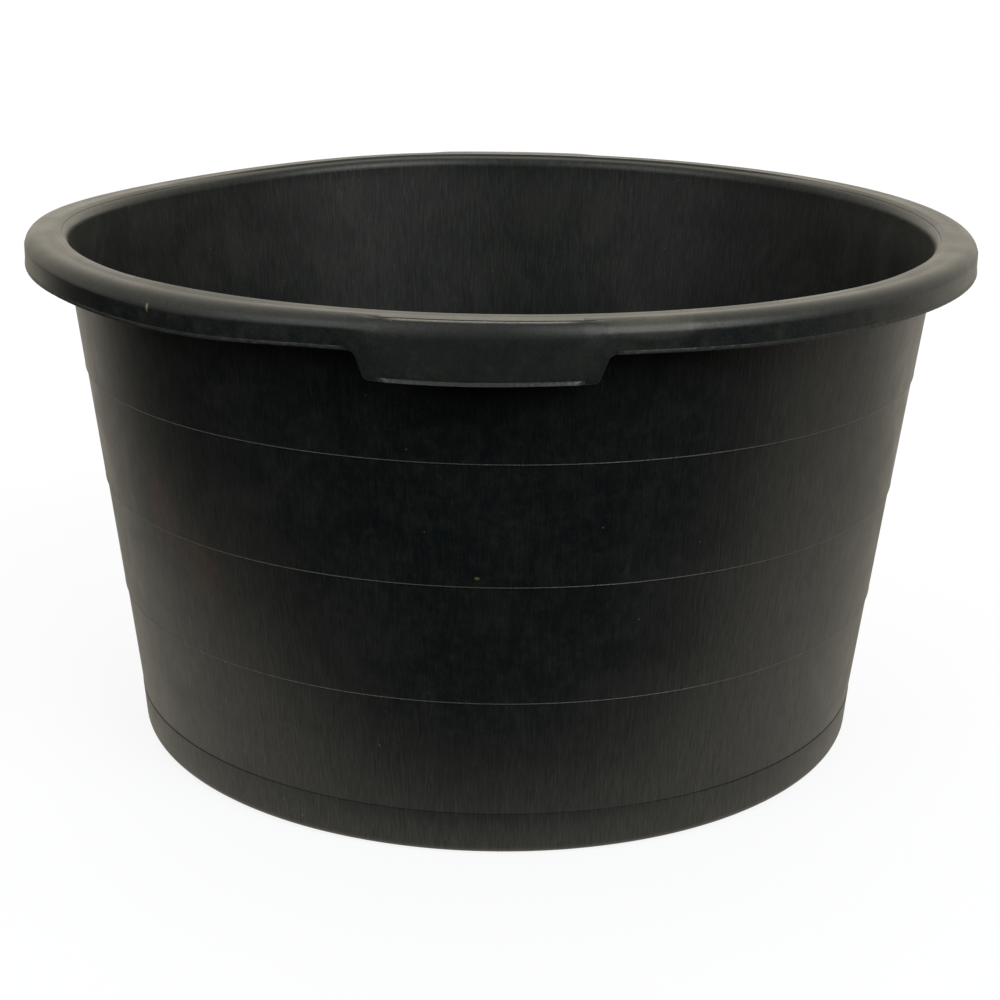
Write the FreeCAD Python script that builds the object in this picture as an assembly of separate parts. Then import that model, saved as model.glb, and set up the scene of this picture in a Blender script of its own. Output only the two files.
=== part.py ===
import FreeCAD, Part
import math
import os

# Round mortar mixing tub, moulded in one shot from black polyethylene.
# Millimetres. +Z is up, the origin is the centre of the base on the ground,
# and the two grips lie on the Y axis, the front one at -Y.
# The moulding is split into its zones. Neighbours meet face to face.

# ---- overall sizes ----
TUB_HEIGHT = 375.0
RIM_RADIUS = 340.0

# ---- walls ----
WALL = 3.5                   # mean wall thickness
FLOOR_THICKNESS = 4.0
BAND_COUNT = 4
FOOT_HEIGHT = 31.0           # top of the upright foot band
TOP_BAND_HEIGHT = 76.5       # highest band, up to the root of the rim
BAND_TAPER = 0.109           # outward growth of a band per mm of height
STEP_DEPTH = 1.25            # each band overhangs the one below by this
STEP_LEAD_HEIGHT = 10.0      # height of the softened lower edge of a band
STEP_LEAD_DEPTH = 0.5
FOOT_TAPER = 0.09
FOOT_PROUD = 0.4             # foot band stands out of the wall above by this
FOOT_CORNER = 8.0            # outside rounding where wall meets ground
STANDING_RING_WIDTH = 24.0
FLOOR_LIFT = 2.0             # the floor panel hangs clear of the ground by this

# ---- rim ----
RIM_WALL = 3.2
RIM_OVERHANG = 27.9          # rim edge beyond the middle line of the wall's root
RIM_ROLL = 9.8               # rounding of the land into the skirt
MOUTH_ROLL = 10.0            # rounding of the wall into the land
LAND_MARGIN = 0.2            # flat left between the zone limit and the rounding
SKIRT_BOTTOM_DROP = 21.2     # skirt's lower edge below the top of the rim
RIM_ROOT_DROP = 20.0         # wall bands end this far below the top of the rim
CHANNEL_FILLET = 3.0
LIP_HEIGHT = 2.4
LIP_REACH = 1.0

# ---- grips ----
GRIP_TOP_WIDTH = 147.0       # width where the grip leaves the skirt
GRIP_BOTTOM_WIDTH = 136.0
GRIP_DROP = 37.5             # grip's lower edge below the top of the rim
GRIP_PROUD = 3.0             # grip face stands out of the skirt by this
GRIP_SHOULDER_DROP = 5.7     # top of the upright face below the land
GRIP_CREASE_WIDTH = 7.5      # distance of the shoulder crease from the rim edge
GRIP_CREASE_DROP = 0.9
GRIP_TOP_FILLET = 4.5        # inside corner between skirt and grip
GRIP_LOW_FILLET = 3.0        # lower corner of the grip
GRIP_END_MARGIN = 5.0        # grip plate runs past its top corner by this
GRIP_FACE_WIDTH = 119.0      # straight-standing face between its two soft corners
GRIP_LIP_HEIGHT = 2.3
GRIP_LIP_REACH = 1.6
WEB_THICKNESS = 3.0
WEB_INSET = 9.0              # webs stand in from the ends of the lower edge
WEB_LIFT = 6.0               # webs stop this far above the grip's lower edge

# ---- hidden underside ----
GUSSET_THICKNESS = 2.5
GUSSET_COUNT_PER_SIDE = 5
GUSSET_SPACING = 30.0        # degrees
GATE_RADIUS = 9.0
GATE_HEIGHT = 1.2

# ---- derived sizes ----
SKIRT_BOTTOM = TUB_HEIGHT - SKIRT_BOTTOM_DROP
RIM_ROOT = TUB_HEIGHT - RIM_ROOT_DROP
LAND_RADIUS = RIM_RADIUS - RIM_ROLL - LAND_MARGIN
LAND_UNDERSIDE = TUB_HEIGHT - RIM_WALL
SKIRT_INSIDE = RIM_RADIUS - RIM_WALL
GRIP_RADIUS = RIM_RADIUS + GRIP_PROUD
GRIP_INSIDE = GRIP_RADIUS - RIM_WALL
GRIP_BOTTOM = TUB_HEIGHT - GRIP_DROP
GRIP_HOLLOW_TOP = TUB_HEIGHT - GRIP_SHOULDER_DROP - RIM_WALL
BAND_PITCH = (RIM_ROOT - TOP_BAND_HEIGHT - FOOT_HEIGHT) / (BAND_COUNT - 1)
WALL_GROWTH = BAND_TAPER + STEP_DEPTH / BAND_PITCH   # mean taper over many bands
FULL_TURN = 360.0


def mean_outer_radius(height):
    """Radius of the line through the middle of the outside steps."""
    return RIM_RADIUS - RIM_OVERHANG - WALL_GROWTH * (RIM_ROOT - height)


def inner_radius(height):
    """Smooth inside wall of the tub."""
    return mean_outer_radius(height) - WALL


def band_floor(index):
    """Height of the lower edge of wall band 0, 1, 2 or 3."""
    return FOOT_HEIGHT + BAND_PITCH * index


def band_radius(index, height):
    """Outside radius of one wall band at a height inside it."""
    low = band_floor(index)
    start = mean_outer_radius(low) + STEP_DEPTH / 2
    return start + BAND_TAPER * (height - low)


def vector(radius, height):
    """Point of a section in the XZ plane."""
    return FreeCAD.Vector(radius, 0, height)


def rounded_wire(corners):
    """Closed wire through (x, z) or (x, z, rounding) corners, with tangent arcs."""
    points = [vector(corner[0], corner[1]) for corner in corners]
    rounds = [corner[2] if len(corner) > 2 else 0.0 for corner in corners]
    count = len(points)
    starts = []
    ends = []
    arcs = []
    for index in range(count):
        here = points[index]
        before = (points[index - 1] - here).normalize()
        after = (points[(index + 1) % count] - here).normalize()
        radius = rounds[index]
        if radius <= 0.0:
            starts.append(here)
            ends.append(here)
            arcs.append(None)
            continue
        half = before.getAngle(after) / 2
        reach = radius / math.tan(half)
        bisector = (before + after).normalize()
        middle = here + bisector * (radius / math.sin(half) - radius)
        starts.append(here + before * reach)
        ends.append(here + after * reach)
        arcs.append(middle)
    edges = []
    for index in range(count):
        if arcs[index] is not None:
            edges.append(Part.Arc(starts[index], arcs[index], ends[index]).toShape())
        following = starts[(index + 1) % count]
        if (following - ends[index]).Length > 1e-6:
            edges.append(Part.LineSegment(ends[index], following).toShape())
    return Part.Wire(Part.__sortEdges__(edges))


def revolved(corners, start=0.0, sweep=FULL_TURN):
    """Solid of revolution of a section about Z, from the azimuth start."""
    face = Part.Face(rounded_wire(corners))
    solid = face.revolve(FreeCAD.Vector(0, 0, 0), FreeCAD.Vector(0, 0, 1), sweep)
    solid.rotate(FreeCAD.Vector(0, 0, 0), FreeCAD.Vector(0, 0, 1), start)
    return solid


def half_turned(shape):
    """The same shape on the opposite side of the tub."""
    copy = shape.copy()
    copy.rotate(FreeCAD.Vector(0, 0, 0), FreeCAD.Vector(0, 0, 1), FULL_TURN / 2)
    return copy


# ---- floor ----

def foot_radius(height):
    """Outside radius of the foot band at a height."""
    top = band_radius(0, FOOT_HEIGHT) - STEP_LEAD_DEPTH + FOOT_PROUD
    return top - FOOT_TAPER * (FOOT_HEIGHT - height)


def standing_ring_outer():
    """Where the flat ring ends and the foot's rounding begins."""
    return foot_radius(0) - FOOT_CORNER


def standing_ring_inner():
    """Where the floor lifts clear of the ground."""
    return standing_ring_outer() - STANDING_RING_WIDTH


def make_floor_panel():
    """Flat floor, a little clear of the ground inside the standing ring."""
    low = FLOOR_LIFT
    high = FLOOR_LIFT + FLOOR_THICKNESS
    edge = standing_ring_inner()
    return revolved([(0, low), (edge, low), (edge, high), (0, high)])


def make_gate_stub():
    """Trimmed injection gate in the middle of the underside."""
    low = FLOOR_LIFT - GATE_HEIGHT
    return revolved([(0, low), (GATE_RADIUS, low), (GATE_RADIUS, FLOOR_LIFT), (0, FLOOR_LIFT)])


def make_standing_ring():
    """Flat ring under the edge of the floor that the tub stands on."""
    inside = standing_ring_inner()
    outside = standing_ring_outer()
    high = FLOOR_LIFT + FLOOR_THICKNESS
    return revolved([(inside, 0), (outside, 0), (outside, high), (inside, high)])


def make_foot_band():
    """Rounded bottom corner and the upright band above it."""
    floor_top = FLOOR_LIFT + FLOOR_THICKNESS
    start = standing_ring_outer()
    return revolved([
        (start, 0),
        (foot_radius(0), 0, FOOT_CORNER),
        (foot_radius(FOOT_HEIGHT), FOOT_HEIGHT),
        (inner_radius(FOOT_HEIGHT), FOOT_HEIGHT),
        (inner_radius(floor_top), floor_top, FOOT_CORNER - WALL),
        (start, floor_top),
    ])


# ---- walls ----

def make_wall_band(index):
    """One conical band of the wall, standing out at its lower edge."""
    low = band_floor(index)
    last = index == BAND_COUNT - 1
    high = RIM_ROOT if last else band_floor(index + 1)
    lead_top = low + STEP_LEAD_HEIGHT
    return revolved([
        (band_radius(index, low) - STEP_LEAD_DEPTH, low),
        (band_radius(index, lead_top), lead_top),
        (band_radius(index, high), high),
        (inner_radius(high), high),
        (inner_radius(low), low),
    ])


# ---- rim ----

def make_rim_land():
    """Rounding of the mouth and the flat top of the rim."""
    last = BAND_COUNT - 1
    return revolved([
        (inner_radius(RIM_ROOT), RIM_ROOT),
        (inner_radius(TUB_HEIGHT), TUB_HEIGHT, MOUTH_ROLL),
        (LAND_RADIUS, TUB_HEIGHT),
        (LAND_RADIUS, LAND_UNDERSIDE),
        (band_radius(last, LAND_UNDERSIDE), LAND_UNDERSIDE, CHANNEL_FILLET),
        (band_radius(last, RIM_ROOT), RIM_ROOT),
    ])


def grip_end_angle():
    """Half the azimuth that one grip plate takes out of the rim, in degrees."""
    half_width = GRIP_TOP_WIDTH / 2 + GRIP_END_MARGIN
    return math.degrees(math.asin(half_width / RIM_RADIUS))


def make_rim_skirt(start):
    """Outer rounding of the rim and its hanging skirt, on one side of the tub."""
    end = grip_end_angle()
    return revolved([
        (LAND_RADIUS, LAND_UNDERSIDE),
        (LAND_RADIUS, TUB_HEIGHT),
        (RIM_RADIUS, TUB_HEIGHT, RIM_ROLL),
        (RIM_RADIUS, SKIRT_BOTTOM),
        (SKIRT_INSIDE, SKIRT_BOTTOM),
        (SKIRT_INSIDE, LAND_UNDERSIDE, RIM_ROLL - RIM_WALL),
    ], start + end, FULL_TURN / 2 - 2 * end)


def make_rim_lip(start):
    """Bead along the lower edge of the skirt."""
    end = grip_end_angle()
    top = SKIRT_BOTTOM + LIP_HEIGHT
    return revolved([
        (RIM_RADIUS, SKIRT_BOTTOM),
        (RIM_RADIUS + LIP_REACH, SKIRT_BOTTOM, LIP_REACH / 2),
        (RIM_RADIUS + LIP_REACH, top - LIP_REACH / 2),
        (RIM_RADIUS, top),
    ], start + end, FULL_TURN / 2 - 2 * end)


# ---- grips ----

def grip_outline(depth):
    """Front view of a grip, pushed through the front of the rim."""
    top_half = GRIP_TOP_WIDTH / 2
    low_half = GRIP_BOTTOM_WIDTH / 2
    outside = top_half + GRIP_END_MARGIN * 2
    above = TUB_HEIGHT + RIM_WALL
    wire = rounded_wire([
        (-outside, above),
        (-outside, SKIRT_BOTTOM),
        (-top_half, SKIRT_BOTTOM, GRIP_TOP_FILLET),
        (-low_half, GRIP_BOTTOM, GRIP_LOW_FILLET),
        (low_half, GRIP_BOTTOM, GRIP_LOW_FILLET),
        (top_half, SKIRT_BOTTOM, GRIP_TOP_FILLET),
        (outside, SKIRT_BOTTOM),
        (outside, above),
    ])
    slab = Part.Face(wire).extrude(FreeCAD.Vector(0, depth, 0))
    slab.translate(FreeCAD.Vector(0, -GRIP_RADIUS - GRIP_PROUD, 0))
    return slab


def grip_plan():
    """Plan of a grip, whose ends slope back from the soft corners to the skirt."""
    face_half = GRIP_FACE_WIDTH / 2
    end_half = GRIP_TOP_WIDTH / 2 + GRIP_END_MARGIN
    corner = FreeCAD.Vector(face_half, -math.sqrt(GRIP_RADIUS**2 - face_half**2), 0)
    end = FreeCAD.Vector(end_half, -math.sqrt(RIM_RADIUS**2 - end_half**2), 0)
    slope = (end.y - corner.y) / (end.x - corner.x)
    nose = FreeCAD.Vector(0, corner.y - slope * corner.x, 0)
    mirrored_end = FreeCAD.Vector(-end.x, end.y, 0)
    centre = FreeCAD.Vector(0, 0, 0)
    face = Part.Face(Part.makePolygon([centre, end, nose, mirrored_end, centre]))
    return face.extrude(FreeCAD.Vector(0, 0, TUB_HEIGHT * 2))


def make_front_grip():
    """Shoulder and upright plate that the fingers close around."""
    end = grip_end_angle()
    crease = RIM_RADIUS - GRIP_CREASE_WIDTH
    plate = revolved([
        (LAND_RADIUS, LAND_UNDERSIDE),
        (LAND_RADIUS, TUB_HEIGHT),
        (crease, TUB_HEIGHT),
        (crease + GRIP_CREASE_DROP, TUB_HEIGHT - GRIP_CREASE_DROP),
        (GRIP_RADIUS, TUB_HEIGHT - GRIP_SHOULDER_DROP, RIM_WALL / 2),
        (GRIP_RADIUS, GRIP_BOTTOM),
        (SKIRT_INSIDE, GRIP_BOTTOM),
        (SKIRT_INSIDE, LAND_UNDERSIDE, RIM_ROLL - RIM_WALL),
    ], -FULL_TURN / 4 - end, 2 * end)
    face_angle = math.degrees(math.asin(GRIP_FACE_WIDTH / 2 / GRIP_RADIUS))
    hollow = revolved([
        (SKIRT_INSIDE - RIM_WALL, GRIP_BOTTOM - RIM_WALL),
        (GRIP_INSIDE, GRIP_BOTTOM - RIM_WALL),
        (GRIP_INSIDE, GRIP_HOLLOW_TOP),
        (SKIRT_INSIDE - RIM_WALL, GRIP_HOLLOW_TOP),
    ], -FULL_TURN / 4 - face_angle, 2 * face_angle)
    return plate.cut(hollow).common(grip_outline(GRIP_RADIUS / 2)).common(grip_plan())


def make_front_grip_lip():
    """Outward bead under the upright face of the grip."""
    half = math.degrees(math.asin(GRIP_FACE_WIDTH / 2 / GRIP_RADIUS))
    top = GRIP_BOTTOM + GRIP_LIP_HEIGHT
    return revolved([
        (GRIP_RADIUS, GRIP_BOTTOM),
        (GRIP_RADIUS + GRIP_LIP_REACH, GRIP_BOTTOM, GRIP_LIP_REACH / 2),
        (GRIP_RADIUS + GRIP_LIP_REACH, top - GRIP_LIP_REACH / 2),
        (GRIP_RADIUS, top),
    ], -FULL_TURN / 4 - half, 2 * half)


def channel_wall_side(low):
    """Wall side of the channel under the rim, from its top down to a height."""
    last = BAND_COUNT - 1
    return [
        (band_radius(last, LAND_UNDERSIDE), LAND_UNDERSIDE, CHANNEL_FILLET),
        (band_radius(last, low), low),
    ]


def make_front_web(side):
    """Upright web that closes one end of the finger pocket."""
    half_width = GRIP_BOTTOM_WIDTH / 2 - WEB_INSET
    angle = math.degrees(math.asin(half_width / RIM_RADIUS))
    spread = math.degrees(WEB_THICKNESS / RIM_RADIUS)
    low = GRIP_BOTTOM + WEB_LIFT
    grip_side = [
        (GRIP_INSIDE, low),
        (GRIP_INSIDE, GRIP_HOLLOW_TOP),
        (SKIRT_INSIDE, GRIP_HOLLOW_TOP),
        (SKIRT_INSIDE, LAND_UNDERSIDE),
    ]
    section = channel_wall_side(low) + grip_side
    return revolved(section, -FULL_TURN / 4 + side * angle - spread / 2, spread)


# ---- hidden stiffening ----

def make_gussets():
    """Small radial gussets between wall and skirt, all under the land."""
    spread = math.degrees(GUSSET_THICKNESS / RIM_RADIUS)
    low = SKIRT_BOTTOM + LIP_HEIGHT
    skirt_side = [
        (SKIRT_INSIDE, low),
        (SKIRT_INSIDE, LAND_UNDERSIDE, RIM_ROLL - RIM_WALL),
    ]
    section = channel_wall_side(low) + skirt_side
    middle = (GUSSET_COUNT_PER_SIDE - 1) / 2
    solids = []
    for side in (0.0, FULL_TURN / 2):
        for index in range(GUSSET_COUNT_PER_SIDE):
            azimuth = side + (index - middle) * GUSSET_SPACING
            solids.append(revolved(section, azimuth - spread / 2, spread))
    return Part.makeCompound(solids)


def build_nodes():
    nodes = {}
    nodes["floor_panel"] = make_floor_panel()
    nodes["gate_stub"] = make_gate_stub()
    nodes["standing_ring"] = make_standing_ring()
    nodes["foot_band"] = make_foot_band()
    for index in range(BAND_COUNT):
        nodes["wall_band_%d" % (index + 1)] = make_wall_band(index)
    nodes["rim_land"] = make_rim_land()
    nodes["rim_skirt_right"] = make_rim_skirt(-FULL_TURN / 4)
    nodes["rim_skirt_left"] = make_rim_skirt(FULL_TURN / 4)
    nodes["rim_lip_right"] = make_rim_lip(-FULL_TURN / 4)
    nodes["rim_lip_left"] = make_rim_lip(FULL_TURN / 4)
    front = make_front_grip()
    nodes["front_grip"] = front
    nodes["rear_grip"] = half_turned(front)
    nodes["front_grip_lip"] = make_front_grip_lip()
    nodes["rear_grip_lip"] = half_turned(nodes["front_grip_lip"])
    for name, side in (("left", -1), ("right", 1)):
        web = make_front_web(side).cut(front)
        nodes["front_grip_web_" + name] = web
        nodes["rear_grip_web_" + name] = half_turned(web)
    nodes["rim_gussets"] = make_gussets()
    return nodes


os.makedirs("parts", exist_ok=True)
for node_name, node_shape in build_nodes().items():
    node_shape.exportStep(os.path.join("parts", node_name + ".step"))
    print(node_name, len(node_shape.Solids), round(node_shape.Volume / 1000, 1), "cm3",
          "valid" if node_shape.isValid() else "INVALID")
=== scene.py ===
# %% [markdown]
# # A black builder's mortar tub
# A mortar tub is one moulding of recycled black polyethylene: a conical wall in four bands, a flat
# floor, a wide rolled rim and two deeper grip plates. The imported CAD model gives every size. This
# lesson turns its zones into meshes with the small things that sell a moulding: softened edges,
# ragged beads, a parting line, a rim that has sagged a little, and scuffed semi-matt plastic.

# %% Load the frame
import bmesh
import bpy
import math
from mathutils import Matrix, Vector, noise


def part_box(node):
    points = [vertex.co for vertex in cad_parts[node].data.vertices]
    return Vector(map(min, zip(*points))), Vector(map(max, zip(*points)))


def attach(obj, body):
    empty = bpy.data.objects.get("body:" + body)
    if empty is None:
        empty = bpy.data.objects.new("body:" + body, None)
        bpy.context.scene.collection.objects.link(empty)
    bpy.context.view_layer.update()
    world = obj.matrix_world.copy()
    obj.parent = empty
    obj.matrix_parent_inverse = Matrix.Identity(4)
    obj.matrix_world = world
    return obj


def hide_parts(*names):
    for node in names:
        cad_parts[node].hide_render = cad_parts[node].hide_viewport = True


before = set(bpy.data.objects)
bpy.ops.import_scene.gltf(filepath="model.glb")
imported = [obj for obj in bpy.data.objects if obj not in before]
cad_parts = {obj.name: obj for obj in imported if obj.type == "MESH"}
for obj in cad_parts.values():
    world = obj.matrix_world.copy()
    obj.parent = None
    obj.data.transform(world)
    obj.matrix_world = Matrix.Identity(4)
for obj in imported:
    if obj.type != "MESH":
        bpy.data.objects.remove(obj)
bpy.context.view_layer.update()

# %% [markdown]
# ## Reading sizes off the CAD zones
# Every zone was turned about the Z axis, so a zone is known by the radii of its corners at a few
# heights. Reading them from the frame keeps the visible pieces on the CAD model if a size changes.

# %% Heights and radii of a zone
MM = 0.001
SAME_LEVEL = 0.02 * MM


def span(node):
    """Lowest and highest corner of a CAD zone."""
    heights = [round(v.co.z, 5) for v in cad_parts[node].data.vertices]
    return min(heights), max(heights)


def radii_at(node, height):
    """Inner and outer radius of a CAD zone at one of its levels."""
    found = [v.co.xy.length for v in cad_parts[node].data.vertices
             if abs(v.co.z - height) < SAME_LEVEL]
    return min(found), max(found)


RIM_ROOT, RIM_TOP = span("rim_land")
MOUTH_EDGE, LAND_EDGE = radii_at("rim_land", RIM_TOP)
SKIRT_BOTTOM = span("rim_skirt_right")[0]
RIM_RADIUS = radii_at("rim_skirt_right", SKIRT_BOTTOM)[1]
GRIP_BOTTOM = span("front_grip")[0]
GRIP_RADIUS = radii_at("front_grip_lip", GRIP_BOTTOM)[0]
GRIP_END = math.asin(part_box("front_grip")[1].x / RIM_RADIUS)
GRIP_FACE_END = math.asin(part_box("front_grip_lip")[1].x / GRIP_RADIUS)
print("rim top", round(RIM_TOP, 4), "mouth", round(MOUTH_EDGE, 4), "land", round(LAND_EDGE, 4),
      "rim", round(RIM_RADIUS, 4), "grip", round(GRIP_RADIUS, 4), "ends in degrees",
      round(math.degrees(GRIP_END), 2), round(math.degrees(GRIP_FACE_END), 2))

# %% [markdown]
# ## The tub is not perfectly true
# Thin polyethylene cools unevenly: the wall waves by a fraction of a millimetre, the rim has sunk
# at the back left, and its outer edge droops at the front left. A lattice could bend the finished
# tub, but one rule that moves the vertices of every piece is easier to aim and keeps neighbours
# together. The wall only moves inwards, the top only sinks, and only the hanging edge of the skirt
# lifts a little, so the tub stays in its CAD box.

# %% Unevenness shared by all pieces
WALL_WAVE = 0.5 * MM
WAVE_LENGTH = 0.13
WAVE_GROWS_TO = 0.05
SAG_START = 0.5
ON_AXIS = 1e-6
# azimuth and half width in degrees, then millimetres at the middle of the bump
RIM_SAGS = [(150, 50, 6.0)]
EDGE_DROOPS = [(234, 24, 2.9), (205, 30, 1.5)]
SKIRT_LIFTS = [(254, 16, 1.0), (284, 18, 1.3)]


def bump_at(azimuth, bumps):
    """Sum of smooth bumps along the rim at an azimuth in radians, in metres."""
    total = 0.0
    for middle, half_width, size in bumps:
        away = (math.degrees(azimuth) - middle + 180) % 360 - 180
        if abs(away) < half_width:
            total += size * MM * math.cos(away / half_width * math.pi / 2) ** 2
    return total


def settle(mesh_verts):
    """Moves vertices by the shared unevenness of the moulding."""
    for vert in mesh_verts:
        radius = vert.co.xy.length
        if radius < ON_AXIS:
            continue
        wave = noise.noise(vert.co / WAVE_LENGTH) * 0.5 - 0.5
        push = wave * WALL_WAVE * min(1.0, vert.co.z / WAVE_GROWS_TO)
        scale = (radius + push) / radius
        azimuth = math.atan2(vert.co.y, vert.co.x)
        height = max(0.0, vert.co.z / RIM_TOP - SAG_START) / (1 - SAG_START)
        outwards = min(1.0, max(0.0, (radius - MOUTH_EDGE) / (RIM_RADIUS - MOUTH_EDGE)))
        hanging = min(1.0, max(0.0, (RIM_TOP - vert.co.z) / (RIM_TOP - SKIRT_BOTTOM)))
        vert.co.z += (bump_at(azimuth, SKIRT_LIFTS) * outwards * hanging
                      - bump_at(azimuth, RIM_SAGS) * height * height
                      - bump_at(azimuth, EDGE_DROOPS) * outwards)
        vert.co.x *= scale
        vert.co.y *= scale


# %% [markdown]
# ## Turned pieces
# A ring-shaped zone could be a tube primitive or a lathe. A lathe is right here: the section is
# drawn once as a flat polygon, its corners are bevelled, and `bmesh.ops.spin` turns it about Z.

# %% Draw a section and turn it
RING_STEPS = 360
SHARP_ANGLE = math.radians(32)
WELD = 0.002 * MM
# a face looks inwards beyond this cosine, or is the top of the floor up to this height
INWARD_COSINE = -0.955
UPWARD_COSINE = 0.6
FLOOR_REACH = 0.02


def section_loop(corners):
    """A flat polygon in the XZ plane, its marked corners bevelled, as a loop of edges."""
    flat = bmesh.new()
    verts = [flat.verts.new((c[0], 0.0, c[1])) for c in corners]
    flat.faces.new(verts)
    for vert, corner in zip(verts, corners):
        if len(corner) > 2:
            bmesh.ops.bevel(flat, geom=[vert], offset=corner[2], segments=corner[3],
                            profile=0.5, affect="VERTICES", material=-1)
    face = flat.faces[:][0]
    loop = [loop.vert.co.copy() for loop in face.loops]
    flat.free()
    return loop


def turned(loop, start, sweep, steps):
    """Spins a closed loop of points about Z and closes its ends if it isn't a full turn."""
    full = abs(sweep - math.tau) < 1e-6
    made = bmesh.new()
    verts = [made.verts.new(point) for point in loop]
    edges = [made.edges.new((verts[i - 1], verts[i])) for i in range(len(verts))]
    bmesh.ops.rotate(made, verts=verts, cent=(0, 0, 0), matrix=Matrix.Rotation(start, 3, "Z"))
    ends = bmesh.ops.spin(made, geom=verts + edges, cent=(0, 0, 0), axis=(0, 0, 1),
                          angle=sweep, steps=steps, use_merge=full)
    if not full:
        last = [item for item in ends["geom_last"] if isinstance(item, bmesh.types.BMEdge)]
        bmesh.ops.edgeloop_fill(made, edges=edges)
        bmesh.ops.edgeloop_fill(made, edges=last)
    bmesh.ops.remove_doubles(made, verts=made.verts[:], dist=WELD)
    bmesh.ops.recalc_face_normals(made, faces=made.faces[:])
    return made


def finish_piece(made, name, nodes, materials, wear_and_highlight_at=None):
    """Turns a bmesh into a smooth piece that rides on the tub and stands for its CAD zones.

    A second material goes on the faces inside the tub. The last argument gives each vertex its pale
    edge colour: real wear and flash, and on some edges a painted highlight."""
    mesh = bpy.data.meshes.new(name)
    wear_and_highlight = made.verts.layers.float.new("wear_and_highlight")
    if wear_and_highlight_at is not None:
        for vert in made.verts:
            vert[wear_and_highlight] = wear_and_highlight_at(vert.co)
    settle(made.verts)
    made.normal_update()
    for face in made.faces:
        face.smooth = True
        middle = face.calc_center_median()
        facing = face.normal.xy.dot(middle.xy.normalized())
        floor_top = face.normal.z > UPWARD_COSINE and middle.z < FLOOR_REACH
        if len(materials) > 1 and (facing < INWARD_COSINE or floor_top):
            face.material_index = 1
    made.to_mesh(mesh)
    made.free()
    mesh.set_sharp_from_angle(angle=SHARP_ANGLE)
    for material in materials:
        mesh.materials.append(material)
    piece = bpy.data.objects.new(name, mesh)
    bpy.context.scene.collection.objects.link(piece)
    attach(piece, "root")
    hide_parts(*nodes)
    print(name, len(mesh.polygons), "faces")
    return piece


def full_ring(name, corners, materials, wear_and_highlight_at=None, steps=RING_STEPS):
    """Turns a section all the way round as the piece for one CAD zone."""
    return finish_piece(turned(section_loop(corners), 0, math.tau, steps), name, [name],
                        materials, wear_and_highlight_at)


# %% [markdown]
# ## Black recycled polyethylene
# The real plastic is cheap regranulate: never quite black, a little warm where light grazes it,
# with long vertical flow streaks from the mould, cloudy scuffs, dust specks and a waxy semi-matt
# gloss. Its index of refraction is about 1.51. A single roughness would look like new rubber, so
# clouds and pale edges move the roughness, streaks and scuffs move the strength of the reflection,
# and streaks and fine grain give the bump. The pale edges are real wear and flash, and on some
# edges a painted highlight.

# %% Helpers for colours and shader nodes
def linear(code):
    """An sRGB hex colour as linear RGBA."""
    channels = [int(code[i:i + 2], 16) / 255 for i in (0, 2, 4)]
    curve = [c / 12.92 if c <= 0.04045 else ((c + 0.055) / 1.055) ** 2.4 for c in channels]
    return (*curve, 1.0)


def add_node(tree, kind, settings=None, links=None):
    """Adds a shader node with its settings and input values, and links its inputs."""
    made = tree.nodes.new(kind)
    for key, value in (settings or {}).items():
        if isinstance(key, int) or key in made.inputs:
            made.inputs[key].default_value = value
        else:
            setattr(made, key, value)
    for key, source in (links or {}).items():
        tree.links.new(source, made.inputs[key])
    return made


# %% Small masks for the plastic
def ramp(tree, source, start, stop, low=0.0, high=1.0, kind="LINEAR"):
    """Map-range node from one interval to another."""
    return add_node(tree, "ShaderNodeMapRange",
                    {"interpolation_type": kind, "From Min": start, "From Max": stop,
                     "To Min": low, "To Max": high}, {"Value": source}).outputs[0]


def maths(tree, operation, first, second):
    """Math node of two inputs, each a value or a socket."""
    values = {i: v for i, v in enumerate((first, second)) if isinstance(v, (int, float))}
    links = {i: v for i, v in enumerate((first, second)) if i not in values}
    return add_node(tree, "ShaderNodeMath", {"operation": operation, **values}, links).outputs[0]


def mixed(tree, amount, under, over):
    """Mixes a colour socket with a colour."""
    return add_node(tree, "ShaderNodeMix", {"data_type": "RGBA", 7: linear(over)},
                    {0: amount, 6: under}).outputs[2]


def spot(tree, place, ragged, centre, size):
    """Soft-edged mask around one point, its edge broken up by a noise."""
    moved = add_node(tree, "ShaderNodeVectorMath", {"operation": "SUBTRACT", 1: centre}, {0: place})
    scaled = add_node(tree, "ShaderNodeVectorMath", {"operation": "DIVIDE", 1: size},
                      {0: moved.outputs[0]})
    away = add_node(tree, "ShaderNodeVectorMath", {"operation": "LENGTH"}, {0: scaled.outputs[0]})
    edge = maths(tree, "ADD", away.outputs["Value"], ragged)
    return ramp(tree, edge, 1.5, 0.5, kind="SMOOTHSTEP")


# %% The plastic, in a few degrees of wear
PE_INDEX = 1.51
STREAK_WIDTH = 1.0 * MM
MEAN_RADIUS = 0.3
CLOUD_SIZE = 55 * MM
GRAIN_SIZE = 0.8 * MM
SCUFF_SIZE = 9 * MM
SPECK_SPACING = 20 * MM
SPECK_SIZE = 0.45 * MM
# greys of a streak, a scuff, a speck of dust, and of a rubbed edge that also paints highlights
STREAK_GREY, SCUFF_GREY, SPECK_GREY, WORN_AND_HIGHLIGHT_GREY = "3b3d3b", "5c5c56", "8f8c84", "a8a69c"
# how much the radius counts in a streak's length, so that streaks end on the flat land as well
OUTWARD_SHARE = 2.0


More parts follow.
